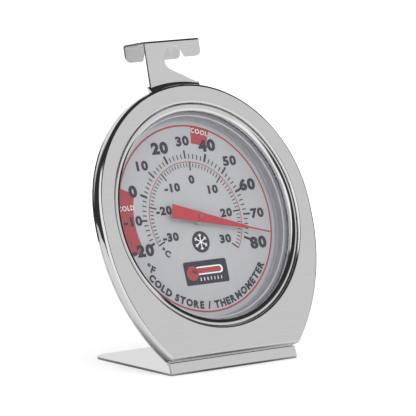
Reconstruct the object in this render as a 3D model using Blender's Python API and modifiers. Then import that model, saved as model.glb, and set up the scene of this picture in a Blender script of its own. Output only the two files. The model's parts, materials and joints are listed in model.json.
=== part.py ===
"""Dial thermometer for a cold room or refrigerator, on a folded sheet that hangs it or stands it up.

Run with: blender --background --python part.py

The case axis leans back by LEAN. Everything on the case is modelled in a local frame whose origin is the
centre of the flat front face: +X to the right, +Y up along the face, +Z out of the face, so a depth of
d behind the face is z = -d. Metres.
"""

import math

import bmesh
import bpy
from mathutils import Vector

MM = 0.001
LEAN = math.radians(19.06)
FACE_CENTRE = Vector((0.0, -8.04 * MM, 46.2 * MM))
CLEARANCE = 0.3 * MM

# Stamped front shell: a round face whose flanks draw in to a flat bottom.
CASE_RADIUS = 41.3 * MM
FLANK_RADIUS = 58.9 * MM
FLANK_START = 3.0 * MM
BOTTOM_DROP = 43.5 * MM
BOTTOM_CORNER = 2.0 * MM
SHELL_THICKNESS = 0.6 * MM
SHELL_DEPTH = 3.0 * MM
SHELL_BEND = 0.6 * MM
OPENING_RADIUS = 34.6 * MM
OPENING_ROLL = 1.6 * MM
OPENING_DEPTH = 1.55 * MM
ROLL_START = 1.1 * MM
ROLL_RISE = 0.8 * MM
ROLL_SPREAD = 0.6
BOTTOM_STEPS = 5
CORNER_STEPS = 3
FLANK_STEPS = 9
CROWN_STEPS = 14
FOOT_STEPS = 4

# Back plate: one sheet with the hanging hook above and the folded stand below.
SHEET = 0.7 * MM
PLATE_DEPTH = SHELL_DEPTH + CLEARANCE
PLATE_HOLE = 34.5 * MM
PLATE_INSET = 0.1 * MM
PLATE_CORNER = 0.7 * MM
JOGGLE_DEPTH = 2.65 * MM
FOOT_HALF_WIDTH = 9.9 * MM
FOOT_START_LEFT = 0.45 * MM
FOOT_START_RIGHT = 0.95 * MM
FOOT_RADIUS = 43.0 * MM
FOOT_TIP = 8.6 * MM
HOOK_TILT = math.radians(4.9)
HOOK_CENTRE = 0.85 * MM
HOOK_WIDTH = 21.5 * MM
HOOK_TOP = 55.4 * MM
HOOK_BAND = 1.0 * MM
HOOK_LOBE_BOTTOM = 50.1 * MM
HOOK_FILLET = 3.0 * MM
HOOK_CORNER = 1.8 * MM
HOOK_NICK = 1.2 * MM
HOOK_SLOPE = math.radians(-24.4)
NOTCH_RADIUS = 3.9 * MM
HOOK_GAP = 10.2 * MM
FLAP_TOP = 56.8 * MM
FLAP_BOTTOM = 51.6 * MM
FLAP_NICK = 1.0 * MM
FLAP_NOTCH_RISE = 0.2 * MM
STRIP_STEP_START = 0.45 * MM
STRIP_STEP_END = 0.75 * MM
STAND_DEPTH = 40.0 * MM
STAND_CORNER = 5.0 * MM
FOLD_BEND = 0.5 * MM

# Instrument can, glazing and dial, stacked along the case axis.
CAN_RADIUS = 34.0 * MM
CAN_WALL = 0.5 * MM
CAN_FLANGE = 37.5 * MM
CAN_FLANGE_DEPTH = 2.2 * MM
CAN_DEPTH = 11.5 * MM
CUP_RADIUS = 17.0 * MM
CUP_DEPTH = 17.0 * MM
VENT_COUNT = 6
VENT_RADIUS = 1.6 * MM
VENT_CIRCLE = 27.5 * MM
APERTURE_RADIUS = 32.3 * MM
BEZEL_FRONT = 0.65 * MM
BEZEL_SHOULDER = 0.9 * MM
BROW_WIDTH = 1.75 * MM
BROW_HEIGHT = 1.2 * MM
STACK_RADIUS = CAN_RADIUS - CAN_WALL - CLEARANCE
LENS_FRONT = 2.4 * MM
LENS_THICKNESS = 1.2 * MM
DIAL_DEPTH = 7.3 * MM
DIAL_THICKNESS = 0.4 * MM
WALL_RADIUS = 31.7 * MM

# Movement behind the dial.
BRIDGE_DEPTH = 8.6 * MM
BRIDGE_THICKNESS = 0.6 * MM
BRIDGE_RADIUS = 22.5 * MM
RIVET_CIRCLE = 19.7 * MM
RIVET_COUNT = 3
RIVET_SHANK = 0.8 * MM
RIVET_HEAD = 1.6 * MM
RIVET_DOME = 1.9 * MM
RIVET_DOME_HEIGHT = 0.9 * MM
STANDOFF_RADIUS = 2.0 * MM
DRILL_OVERRUN = 1.0 * MM
BUSH_RADIUS = 2.1 * MM
BUSH_LENGTH = 1.2 * MM
BEARING_FLANGE = 3.2 * MM
FLANGE_THICKNESS = 0.4 * MM
ARBOR_RADIUS = 0.6 * MM
ARBOR_PROUD = 0.65 * MM
ARBOR_END_PLAY = 0.7 * MM
COIL_INNER = 3.2 * MM
COIL_PITCH = 1.7 * MM
COIL_TURNS = 5.5
COIL_STRIP = 0.4 * MM
COIL_FRONT = 11.3 * MM
COIL_WIDTH = 3.2 * MM
COIL_STEPS_PER_TURN = 22
COLLET_RADIUS = 2.2 * MM
ANCHOR_CLEARANCE = 1.2 * MM
ANCHOR_RADIUS = 0.8 * MM

# Pointer, shown at the reading it rests at.
SCALE_LOW_ANGLE = math.radians(-109.4)
SCALE_HIGH_ANGLE = math.radians(113.5)
SCALE_LOW = -20.0
SCALE_HIGH = 80.0
REST_READING = 76.3
POINTER_DEPTH = 5.0 * MM
POINTER_THICKNESS = 0.3 * MM
POINTER_TIP = 27.9 * MM
POINTER_TAIL = 10.5 * MM
POINTER_TAIL_WIDTH = 4.5 * MM
TAIL_CORNER = 0.4 * MM
NEEDLE_START = 17.6 * MM
NEEDLE_BLEND = 1.5 * MM
NEEDLE_POINT = 1.0 * MM
NEEDLE_WIDTH = 0.5 * MM
HUB_BARREL = 1.3 * MM
HUB_STEP = 0.1 * MM
HUB_SEAT = 2.3 * MM
HUB_SEAT_THICKNESS = 0.6 * MM

ROUND_STEPS = 64
SMALL_STEPS = 24


def clear_scene():
    for obj in list(bpy.data.objects):
        bpy.data.objects.remove(obj, do_unlink=True)


def make_collection(name):
    collection = bpy.data.collections.new(name)
    bpy.context.scene.collection.children.link(collection)
    return collection


def make_material(name, colour, roughness, metallic):
    material = bpy.data.materials.new(name)
    material.use_nodes = True
    shader = material.node_tree.nodes["Principled BSDF"]
    shader.inputs["Base Color"].default_value = (*colour, 1.0)
    shader.inputs["Roughness"].default_value = roughness
    shader.inputs["Metallic"].default_value = metallic
    return material


def make_empty(name, location, rotation, parent, collection):
    empty = bpy.data.objects.new(name, None)
    empty.empty_display_size = 10 * MM
    empty.location = location
    empty.rotation_euler = rotation
    empty.parent = parent
    collection.objects.link(empty)
    return empty


def add_object(name, data, material, parent, collection):
    obj = bpy.data.objects.new(name, data)
    obj.parent = parent
    collection.objects.link(obj)
    data.materials.append(material)
    return obj


def mesh_from(bm, name):
    mesh = bpy.data.meshes.new(name)
    bm.to_mesh(mesh)
    bm.free()
    mesh.shade_smooth()
    mesh.set_sharp_from_angle(angle=math.radians(35))
    return mesh


def arc(centre, radius, start, end, steps):
    """Points on an arc, in degrees, with both of its ends."""
    points = []
    for step in range(steps + 1):
        angle = math.radians(start + (end - start) * step / steps)
        points.append((centre[0] + radius * math.cos(angle), centre[1] + radius * math.sin(angle)))
    return points


def turned(name, profile, material, parent, collection, steps=ROUND_STEPS, closed=True):
    """A solid of revolution about local Z. The profile of (radius, z) runs down its outer side."""
    bm = bmesh.new()
    verts = [bm.verts.new((radius, 0.0, z)) for radius, z in profile]
    for first, second in zip(verts, verts[1:]):
        bm.edges.new((first, second))
    if closed:
        bm.edges.new((verts[-1], verts[0]))
    mesh = bpy.data.meshes.new(name)
    bm.to_mesh(mesh)
    bm.free()
    obj = add_object(name, mesh, material, parent, collection)
    screw = obj.modifiers.new("Turn", "SCREW")
    screw.axis = "Z"
    screw.angle = math.tau
    screw.steps = steps
    screw.render_steps = steps
    screw.use_merge_vertices = True
    screw.merge_threshold = 0.00001
    screw.use_smooth_shade = True
    return obj


def drill(obj, name, radius, position, depths, cutters, parent):
    """Cuts a round hole along local Z through the sheet that lies between two depths behind the face."""
    front, back = depths
    length = back - front + 2 * DRILL_OVERRUN
    bm = bmesh.new()
    bmesh.ops.create_cone(
        bm, cap_ends=True, segments=SMALL_STEPS, radius1=radius, radius2=radius, depth=length
    )
    bmesh.ops.translate(bm, verts=bm.verts, vec=(*position, -(front + back) / 2))
    mesh = bpy.data.meshes.new(name)
    bm.to_mesh(mesh)
    bm.free()
    cut_with(obj, name, mesh, cutters, parent)


def cut_with(obj, name, mesh, cutters, parent):
    cutter = bpy.data.objects.new(name, mesh)
    cutter.parent = parent
    cutter.hide_render = True
    cutter.display_type = "WIRE"
    cutters.objects.link(cutter)
    cut = obj.modifiers.new(name, "BOOLEAN")
    cut.operation = "DIFFERENCE"
    cut.object = cutter


def housing_outline(offset, corner):
    """The case outline in the face plane, anticlockwise from the bottom centre, moved out by offset."""
    flank_centre = (CASE_RADIUS - FLANK_RADIUS, -FLANK_START)
    corner_y = corner - BOTTOM_DROP
    reach = FLANK_RADIUS - corner
    corner_x = flank_centre[0] + math.sqrt(reach**2 - (corner_y - flank_centre[1]) ** 2)
    turn = math.degrees(math.atan2(corner_y - flank_centre[1], corner_x - flank_centre[0]))
    foot_angle = math.degrees(math.asin(FOOT_HALF_WIDTH / (CASE_RADIUS - PLATE_INSET)))
    bottom_y = -BOTTOM_DROP - offset
    radius = CASE_RADIUS + offset
    right = []
    for step in range(BOTTOM_STEPS):
        right.append((corner_x * step / BOTTOM_STEPS, bottom_y))
    right += arc((corner_x, corner_y), corner + offset, -90, turn, CORNER_STEPS)
    right += arc(flank_centre, FLANK_RADIUS + offset, turn, 0, FLANK_STEPS)[1:]
    right += arc((0, 0), radius, 0, 90 - foot_angle, CROWN_STEPS)
    right += arc((0, 0), radius, 90 - foot_angle, 90, FOOT_STEPS)[1:]
    left = [(-x, y) for x, y in reversed(right[1:-1])]
    return right + left


def ring_at(radius, outline):
    """A circle with one point abreast of each point of the outline."""
    return [(radius * x / math.hypot(x, y), radius * y / math.hypot(x, y)) for x, y in outline]


def loft(bm, rings):
    """Joins closed rings of equal length, each a list of (x, y) and a depth, and returns their vertices."""
    made = []
    for points, depth in rings:
        made.append([bm.verts.new((x, y, -depth)) for x, y in points])
    for inner, outer in zip(made, made[1:]):
        for index in range(len(inner)):
            after = (index + 1) % len(inner)
            bm.faces.new((inner[index], outer[index], outer[after], inner[after]))
    return made


def thicken(obj, thickness):
    solidify = obj.modifiers.new("Sheet", "SOLIDIFY")
    solidify.thickness = thickness
    solidify.offset = 0.0
    solidify.use_even_offset = True

def build_front_shell(material, parent, collection):
    """A pressed face with a rolled opening and a short rim, as its middle surface with Solidify."""
    half = SHELL_THICKNESS / 2
    outline = housing_outline(0.0, BOTTOM_CORNER)
    rings = [
        (ring_at(OPENING_RADIUS + half, outline), OPENING_DEPTH),
        (ring_at(OPENING_RADIUS + half, outline), ROLL_START),
    ]
    roll = OPENING_ROLL - half
    for turn in (30, 60, 90):
        angle = math.radians(turn)
        radius = OPENING_RADIUS + half + roll * (1 - math.cos(angle)) * ROLL_SPREAD
        rings.append((ring_at(radius, outline), ROLL_START - ROLL_RISE * math.sin(angle)))
    rings.append((ring_at(OPENING_RADIUS + OPENING_ROLL, outline), half))
    for turn in (0, 30, 60, 90):
        angle = math.radians(turn)
        inset = half + SHELL_BEND * (1 - math.sin(angle))
        depth = half + SHELL_BEND * (1 - math.cos(angle))
        rings.append((housing_outline(-inset, BOTTOM_CORNER), depth))
    rings.append((housing_outline(-half, BOTTOM_CORNER), SHELL_DEPTH))
    bm = bmesh.new()
    loft(bm, rings)
    shell = add_object("front_shell", mesh_from(bm, "front_shell"), material, parent, collection)
    thicken(shell, SHELL_THICKNESS)


def sheet_depth(y):
    """Depth of the hook's middle surface, which tips forward above the foot."""
    return JOGGLE_DEPTH + SHEET / 2 - (y - FOOT_RADIUS) * math.tan(HOOK_TILT)


def hook_outline():
    """The hanging tab's front, anticlockwise from the foot's right tip, without its top band."""
    right = HOOK_CENTRE + HOOK_WIDTH / 2
    left = HOOK_CENTRE - HOOK_WIDTH / 2
    tip_y = math.sqrt(FOOT_RADIUS**2 - FOOT_TIP**2)
    fillet_x = HOOK_CENTRE - NOTCH_RADIUS + HOOK_FILLET
    fillet_y = tip_y + (fillet_x - FOOT_TIP) * math.tan(HOOK_SLOPE) + HOOK_FILLET / math.cos(HOOK_SLOPE)
    nick = (HOOK_CENTRE + NOTCH_RADIUS + HOOK_NICK, HOOK_LOBE_BOTTOM + HOOK_NICK)
    corner = (right - HOOK_CORNER, HOOK_LOBE_BOTTOM + HOOK_CORNER)
    points = arc((fillet_x, fillet_y), HOOK_FILLET, 270 + math.degrees(HOOK_SLOPE), 180, 5)
    points += arc((HOOK_CENTRE, HOOK_LOBE_BOTTOM), NOTCH_RADIUS, 180, 18, 9)
    points += arc(nick, HOOK_NICK, 195, 270, 3)
    points += arc(corner, HOOK_CORNER, -90, 0, 4)
    points += [(right, HOOK_TOP - HOOK_BAND), (left, HOOK_TOP - HOOK_BAND)]
    return points


def flap_outline():
    """The rear flap's two lobes, from its right end round to its left end, below its top band."""
    corner_y = FLAP_BOTTOM + HOOK_CORNER
    nick_y = FLAP_BOTTOM + FLAP_NICK
    right = HOOK_CENTRE + HOOK_WIDTH / 2 - HOOK_CORNER
    left = HOOK_CENTRE - HOOK_WIDTH / 2 + HOOK_CORNER
    nick_right = HOOK_CENTRE + NOTCH_RADIUS + FLAP_NICK
    nick_left = HOOK_CENTRE - NOTCH_RADIUS - FLAP_NICK
    points = arc((right, corner_y), HOOK_CORNER, 0, -90, 4)
    points += arc((nick_right, nick_y), FLAP_NICK, 270, 195, 3)
    points += arc((HOOK_CENTRE, FLAP_BOTTOM + FLAP_NOTCH_RISE), NOTCH_RADIUS, 18, 162, 9)
    points += arc((nick_left, nick_y), FLAP_NICK, -15, -90, 3)
    points += arc((left, corner_y), HOOK_CORNER, 270, 180, 4)
    return points


def grow(bm, verts, points):
    """Adds one row of quads from a row of vertices to a row of points, and returns the new row."""
    row = [bm.verts.new(point) for point in points]
    for index in range(len(row) - 1):
        bm.faces.new((verts[index], verts[index + 1], row[index + 1], row[index]))
    return row


def stand_point(x, along, fold_y, fold_depth):
    """A point of the level stand, a distance behind the fold, in the leaning frame of the case."""
    return (x, fold_y + along * math.sin(LEAN), -fold_depth - along * math.cos(LEAN))


def build_back_plate(material, parent, collection):
    """One sheet: a ring behind the shell, the joggled hook above it and the folded stand below."""
    middle = PLATE_DEPTH + SHEET / 2
    bm = bmesh.new()
    outline = housing_outline(-PLATE_INSET, PLATE_CORNER)
    inner, rim = loft(bm, [(ring_at(PLATE_HOLE, outline), middle), (outline, middle)])

    # Foot of the hook: two rows of the joggle over the shell's rim, then the front of the hook.
    top = max(range(len(outline)), key=lambda index: outline[index][1])
    foot = [rim[index] for index in range(top + FOOT_STEPS, top - FOOT_STEPS - 1, -1)]
    lower = []
    upper = []
    for step in range(len(foot)):
        across = step / (len(foot) - 1)
        low_x = -FOOT_HALF_WIDTH + 2 * FOOT_HALF_WIDTH * across
        high_x = -FOOT_HALF_WIDTH + (FOOT_HALF_WIDTH + FOOT_TIP) * across
        start = FOOT_START_LEFT + (FOOT_START_RIGHT - FOOT_START_LEFT) * across
        low_radius = CASE_RADIUS + start
        lower.append((low_x, math.sqrt(low_radius**2 - low_x**2), -middle))
        high_y = math.sqrt(FOOT_RADIUS**2 - high_x**2)
        upper.append((high_x, high_y, -sheet_depth(high_y)))
    row = grow(bm, foot, lower)
    row = grow(bm, row, upper)
    front = [bm.verts.new((x, y, -sheet_depth(y))) for x, y in hook_outline()]
    bm.faces.new(row + front)

    # Top of the hook and the flap behind it.
    right = HOOK_CENTRE + HOOK_WIDTH / 2
    left = HOOK_CENTRE - HOOK_WIDTH / 2
    flap_depth = HOOK_GAP - math.tan(HOOK_TILT) * (FLAP_TOP - HOOK_TOP)
    row = [front[-1], front[-2]]
    fold_front = grow(bm, row, [(x, HOOK_TOP, -sheet_depth(HOOK_TOP)) for x in (left, right)])
    rear_depth = sheet_depth(HOOK_TOP) + flap_depth
    fold_rear = grow(bm, fold_front, [(x, FLAP_TOP, -rear_depth) for x in (left, right)])
    band_y = FLAP_TOP - HOOK_BAND
    flap_z = [-(sheet_depth(y) + HOOK_GAP) for y in (band_y, FLAP_TOP)]
    band = grow(bm, fold_rear, [(x, band_y, flap_z[0]) for x in (left, right)])
    lobes = [bm.verts.new((x, y, -(sheet_depth(y) + HOOK_GAP))) for x, y in flap_outline()]
    bm.faces.new([band[0], band[1]] + lobes)

    # Strip under the case, joggled forward, and the stand folded back from it.
    level = PLATE_INSET - BOTTOM_DROP
    bottom = [index for index, point in enumerate(outline) if math.isclose(point[1], level)]
    bottom.sort(key=lambda index: outline[index][0])
    row = [rim[index] for index in bottom]
    widths = [outline[index][0] for index in bottom]
    strip = JOGGLE_DEPTH + SHEET / 2
    fold_y = (SHEET / 2 - FACE_CENTRE.z + strip * math.sin(LEAN)) / math.cos(LEAN)
    for drop, depth in ((STRIP_STEP_START, middle), (STRIP_STEP_END, strip)):
        row = grow(bm, row, [(x, -BOTTOM_DROP - drop, -depth) for x in widths])
    fold = grow(bm, row, [(x, fold_y, -strip) for x in widths])
    straight = STAND_DEPTH - STAND_CORNER
    corner_x = widths[-1] - STAND_CORNER
    far = arc((corner_x, straight), STAND_CORNER, 0, 90, 6)[1:]
    far += [(-x, along) for x, along in reversed(far)]
    row = grow(bm, fold, [stand_point(x, straight, fold_y, strip) for x in widths])
    rear = [bm.verts.new(stand_point(x, along, fold_y, strip)) for x, along in far]
    bm.faces.new(row + rear)

    folds = []
    for line in (fold_front, fold_rear, fold):
        for first, second in zip(line, line[1:]):
            folds.append(bm.edges.get((first, second)))
    bmesh.ops.bevel(
        bm,
        geom=folds,
        offset=FOLD_BEND,
        segments=3,
        affect="EDGES",
        profile=0.5,
        material=-1,
        loop_slide=True,
    )
    bmesh.ops.recalc_face_normals(bm, faces=bm.faces)
    plate = add_object("back_plate", mesh_from(bm, "back_plate"), material, parent, collection)
    thicken(plate, SHEET)


def build_can(material, parent, collection, cutters):
    """A drawn can, flanged at its mouth, with a smaller cup at its back for the coil."""
    inner = CAN_RADIUS - CAN_WALL
    cup_inner = CUP_RADIUS - CAN_WALL
    floor = CAN_DEPTH - CAN_WALL
    cup_floor = CUP_DEPTH - CAN_WALL
    profile = [
        (0.0, -cup_floor),
        (cup_inner, -cup_floor),
        (cup_inner, -floor),
        (inner, -floor),
        (inner, -CAN_FLANGE_DEPTH),
        (CAN_FLANGE, -CAN_FLANGE_DEPTH),
        (CAN_FLANGE, -CAN_FLANGE_DEPTH - CAN_WALL),
        (CAN_RADIUS, -CAN_FLANGE_DEPTH - CAN_WALL),
        (CAN_RADIUS, -CAN_DEPTH),
        (CUP_RADIUS, -CAN_DEPTH),
        (CUP_RADIUS, -CUP_DEPTH),
        (0.0, -CUP_DEPTH),
    ]
    can = turned("rear_can", profile, material, parent, collection, closed=False)
    for index in range(VENT_COUNT):
        angle = math.tau * (index + 0.5) / VENT_COUNT
        place = (VENT_CIRCLE * math.cos(angle), VENT_CIRCLE * math.sin(angle))
        drill(can, f"vent_{index + 1}", VENT_RADIUS, place, (floor, CAN_DEPTH), cutters, parent)
    for index in range(RIVET_COUNT):
        radius = RIVET_SHANK + CLEARANCE
        place = rivet_place(index)
        drill(can, f"can_hole_{index + 1}", radius, place, (floor, CAN_DEPTH), cutters, parent)


def rivet_place(index):
    angle = math.radians(90) + math.tau * index / RIVET_COUNT
    return (RIVET_CIRCLE * math.cos(angle), RIVET_CIRCLE * math.sin(angle))


def build_glazing(materials, parent, collection):
    """The polished ring in the opening, the glass behind it and the rings that space the dial."""
    lens_back = LENS_FRONT + LENS_THICKNESS
    lip_back = LENS_FRONT - CLEARANCE
    lip = OPENING_RADIUS - CLEARANCE
    bezel = [
        (lip, -BEZEL_SHOULDER),
        (lip, -CAN_FLANGE_DEPTH + CLEARANCE),
        (STACK_RADIUS, -CAN_FLANGE_DEPTH + CLEARANCE),
        (STACK_RADIUS, -lip_back),
        (APERTURE_RADIUS, -lip_back),
    ]
    for turn in (0, 30, 60, 90):
        angle = math.radians(turn)
        radius = APERTURE_RADIUS + BROW_WIDTH * (1 - math.cos(angle))
        bezel.append((radius, -BEZEL_FRONT - BROW_HEIGHT * (1 - math.sin(angle))))
    turned("bezel_ring", bezel, materials["polished steel"], parent, collection)
    lens = [
        (0.0, -LENS_FRONT),
        (STACK_RADIUS, -LENS_FRONT),
        (STACK_RADIUS, -lens_back),
        (0.0, -lens_back),
    ]
    turned("glass_lens", lens, materials["glass"], parent, collection, closed=False)
    wall = [
        (STACK_RADIUS, -lens_back - CLEARANCE),
        (STACK_RADIUS, -DIAL_DEPTH + CLEARANCE),
        (WALL_RADIUS, -DIAL_DEPTH + CLEARANCE),
        (WALL_RADIUS, -lens_back - CLEARANCE),
    ]
    turned("spacer_ring", wall, materials["grey ring"], parent, collection)
    dial_back = DIAL_DEPTH + DIAL_THICKNESS
    floor = CAN_DEPTH - CAN_WALL
    support = [
        (STACK_RADIUS, -dial_back - CLEARANCE),
        (STACK_RADIUS, -floor + CLEARANCE),
        (WALL_RADIUS - MM, -floor + CLEARANCE),
        (WALL_RADIUS - MM, -dial_back - CLEARANCE),
    ]
    turned("dial_support_ring", support, materials["grey ring"], parent, collection)
    hole = ARBOR_RADIUS + 2 * CLEARANCE
    dial = [
        (STACK_RADIUS, -DIAL_DEPTH),
        (STACK_RADIUS, -dial_back),
        (hole, -dial_back),
        (hole, -DIAL_DEPTH),
    ]
    turned("dial_plate", dial, materials["dial"], parent, collection)


def build_movement(materials, parent, collection, cutters):
    """The bridge on its riveted posts, the two bearings, and the bimetal coil and its anchor."""
    bridge_back = BRIDGE_DEPTH + BRIDGE_THICKNESS
    floor = CAN_DEPTH - CAN_WALL
    hole = BUSH_RADIUS + CLEARANCE
    bridge = [
        (BRIDGE_RADIUS, -BRIDGE_DEPTH),
        (BRIDGE_RADIUS, -bridge_back),
        (hole, -bridge_back),
        (hole, -BRIDGE_DEPTH),
    ]
    plate = turned("movement_bridge", bridge, materials["brass"], parent, collection)
    clear = RIVET_SHANK + CLEARANCE
    post = [
        (STANDOFF_RADIUS, -bridge_back - CLEARANCE),
        (STANDOFF_RADIUS, -floor + CLEARANCE),
        (clear, -floor + CLEARANCE),
        (clear, -bridge_back - CLEARANCE),
    ]
    rear = CAN_DEPTH + CLEARANCE
    rivet = [
        (0.0, -BRIDGE_DEPTH + 2 * CLEARANCE),
        (RIVET_HEAD, -BRIDGE_DEPTH + 2 * CLEARANCE),
        (RIVET_HEAD, -BRIDGE_DEPTH + CLEARANCE),
        (RIVET_SHANK, -BRIDGE_DEPTH + CLEARANCE),
        (RIVET_SHANK, -rear),
    ]
    for turn in (0, 30, 60):
        angle = math.radians(turn)
        rivet.append((RIVET_DOME * math.cos(angle), -rear - RIVET_DOME_HEIGHT * math.sin(angle)))
    rivet.append((0.0, -rear - RIVET_DOME_HEIGHT))
    for index in range(RIVET_COUNT):
        place = rivet_place(index)
        sheet = (BRIDGE_DEPTH, bridge_back)
        drill(plate, f"bridge_hole_{index + 1}", clear, place, sheet, cutters, parent)
        number = index + 1
        tube = turned(f"standoff_{number}", post, materials["brass"], parent, collection, SMALL_STEPS)
        tube.location = (*place, 0.0)
        pin = turned(
            f"rivet_{number}", rivet, materials["steel"], parent, collection, SMALL_STEPS, closed=False
        )
        pin.location = (*place, 0.0)

    bore = ARBOR_RADIUS + CLEARANCE
    flange_front = bridge_back + CLEARANCE
    front_bearing = [
        (BUSH_RADIUS, -BRIDGE_DEPTH + CLEARANCE),
        (BUSH_RADIUS, -flange_front),
        (BEARING_FLANGE, -flange_front),
        (BEARING_FLANGE, -flange_front - FLANGE_THICKNESS),
        (bore, -flange_front - FLANGE_THICKNESS),
        (bore, -BRIDGE_DEPTH + CLEARANCE),
    ]
    turned("front_bearing", front_bearing, materials["brass"], parent, collection, SMALL_STEPS)
    rear = CUP_DEPTH - CAN_WALL - CLEARANCE
    rear_bearing = [
        (BUSH_RADIUS, -rear + BUSH_LENGTH),
        (BUSH_RADIUS, -rear),
        (bore, -rear),
        (bore, -rear + BUSH_LENGTH),
    ]
    turned("rear_bearing", rear_bearing, materials["brass"], parent, collection, SMALL_STEPS)
    build_coil(materials["bimetal"], parent, collection)

    outer = COIL_INNER + COIL_PITCH * COIL_TURNS + ANCHOR_CLEARANCE
    angle = math.tau * COIL_TURNS
    coil_back = COIL_FRONT + COIL_WIDTH
    anchor = [
        (0.0, -flange_front),
        (ANCHOR_RADIUS, -flange_front),
        (ANCHOR_RADIUS, -coil_back),
        (0.0, -coil_back),
    ]
    pin = turned(
        "coil_anchor_pin", anchor, materials["brass"], parent, collection, SMALL_STEPS, closed=False
    )
    pin.location = (outer * math.cos(angle), outer * math.sin(angle), 0.0)


def build_coil(material, parent, collection):
    """A flat spiral of bimetal strip, wound about the arbor."""
    bm = bmesh.new()
    verts = []
    for step in range(int(COIL_TURNS * COIL_STEPS_PER_TURN) + 1):
        turns = step / COIL_STEPS_PER_TURN
        radius = COIL_INNER + COIL_PITCH * turns
        angle = math.tau * turns
        verts.append(bm.verts.new((radius * math.cos(angle), radius * math.sin(angle), -COIL_FRONT)))
    edges = [bm.edges.new(pair) for pair in zip(verts, verts[1:])]
    made = bmesh.ops.extrude_edge_only(bm, edges=edges)["geom"]
    moved = [item for item in made if isinstance(item, bmesh.types.BMVert)]
    bmesh.ops.translate(bm, verts=moved, vec=(0.0, 0.0, -COIL_WIDTH))
    coil = add_object("bimetal_coil", mesh_from(bm, "bimetal_coil"), material, parent, collection)
    thicken(coil, COIL_STRIP)


def build_pointer(materials, parent, collection):
    """The arbor, the collet that the coil turns, the hub, and the tapered pointer on it."""
    top = POINTER_DEPTH - ARBOR_PROUD
    arbor_end = CUP_DEPTH - CAN_WALL - ARBOR_END_PLAY
    arbor = [(0.0, -top), (ARBOR_RADIUS, -top), (ARBOR_RADIUS, -arbor_end), (0.0, -arbor_end)]
    turned("arbor", arbor, materials["steel"], parent, collection, SMALL_STEPS, closed=False)
    bore = ARBOR_RADIUS + CLEARANCE
    coil_back = COIL_FRONT + COIL_WIDTH
    collet = [
        (COLLET_RADIUS, -COIL_FRONT),
        (COLLET_RADIUS, -coil_back),
        (bore, -coil_back),
        (bore, -COIL_FRONT),
    ]
    turned("coil_collet", collet, materials["brass"], parent, collection, SMALL_STEPS)
    seat = POINTER_DEPTH + POINTER_THICKNESS + CLEARANCE
    hub = [
        (HUB_BARREL, -top - HUB_STEP),
        (HUB_BARREL, -seat),
        (HUB_SEAT, -seat),
        (HUB_SEAT, -seat - HUB_SEAT_THICKNESS),
        (bore, -seat - HUB_SEAT_THICKNESS),
        (bore, -top - HUB_STEP),
    ]
    turned("pointer_hub", hub, materials["steel"], parent, collection, SMALL_STEPS)

    tail = POINTER_TAIL_WIDTH / 2
    needle = NEEDLE_WIDTH / 2
    half = [
        (tail - TAIL_CORNER, -POINTER_TAIL),
        (tail, -POINTER_TAIL + TAIL_CORNER),
        (2 * needle, NEEDLE_START),
        (needle, NEEDLE_START + NEEDLE_BLEND),
        (needle, POINTER_TIP - NEEDLE_POINT),
        (0.0, POINTER_TIP),
    ]
    outline = half + [(-x, y) for x, y in reversed(half[:-1])]
    step = 360 / SMALL_STEPS
    hole = arc((0, 0), HUB_BARREL + CLEARANCE, 0, 360 - step, SMALL_STEPS - 1)
    curve = bpy.data.curves.new("pointer", "CURVE")
    curve.dimensions = "2D"
    curve.fill_mode = "BOTH"
    curve.extrude = POINTER_THICKNESS / 2
    for points in (outline, hole):
        spline = curve.splines.new("POLY")
        spline.points.add(len(points) - 1)
        for point, (x, y) in zip(spline.points, points):
            point.co = (x, y, 0.0, 1.0)
        spline.use_cyclic_u = True
    pointer = add_object("pointer", curve, materials["pointer red"], parent, collection)
    pointer.location = (0.0, 0.0, -POINTER_DEPTH - POINTER_THICKNESS / 2)


def main():
    clear_scene()
    collection = make_collection("dial_thermometer")
    cutters = make_collection("cutters")
    cutters.hide_render = True
    materials = {
        "satin steel": make_material("satin steel", (0.56, 0.56, 0.56), 0.32, 1.0),
        "polished steel": make_material("polished steel", (0.75, 0.75, 0.75), 0.08, 1.0),
        "steel": make_material("steel", (0.45, 0.45, 0.46), 0.35, 1.0),
        "brass": make_material("brass", (0.62, 0.45, 0.18), 0.35, 1.0),
        "bimetal": make_material("bimetal", (0.40, 0.34, 0.28), 0.4, 1.0),
        "grey ring": make_material("grey ring", (0.26, 0.25, 0.28), 0.5, 0.0),
        "dial": make_material("dial", (0.50, 0.50, 0.51), 0.45, 0.3),
        "glass": make_material("glass", (0.9, 0.92, 0.92), 0.02, 0.0),
        "pointer red": make_material("pointer red", (0.60, 0.06, 0.08), 0.4, 0.0),
    }
    upright = math.radians(90) - LEAN
    case_axis = make_empty("case_axis", FACE_CENTRE, (upright, 0.0, 0.0), None, collection)
    span = SCALE_HIGH_ANGLE - SCALE_LOW_ANGLE
    rest = SCALE_LOW_ANGLE + span * (REST_READING - SCALE_LOW) / (SCALE_HIGH - SCALE_LOW)
    turn = (0.0, 0.0, -rest)
    pointer_axis = make_empty("pointer_axis", (0.0, 0.0, 0.0), turn, case_axis, collection)

    build_front_shell(materials["satin steel"], case_axis, collection)
    build_back_plate(materials["satin steel"], case_axis, collection)
    build_can(materials["steel"], case_axis, collection, cutters)
    build_glazing(materials, case_axis, collection)
    build_movement(materials, case_axis, collection, cutters)
    build_pointer(materials, pointer_axis, collection)


main()
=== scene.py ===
"""Looks of the dial thermometer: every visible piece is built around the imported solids, in assembly order.

Pieces of the case are modelled in the case's own axes, with X to the right, Y up along the face and Z out of
the face, so a depth of d behind the face is z = -d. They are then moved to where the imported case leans.
"""

import json
import math

import bmesh
import bpy
from mathutils import Matrix, Vector


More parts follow.
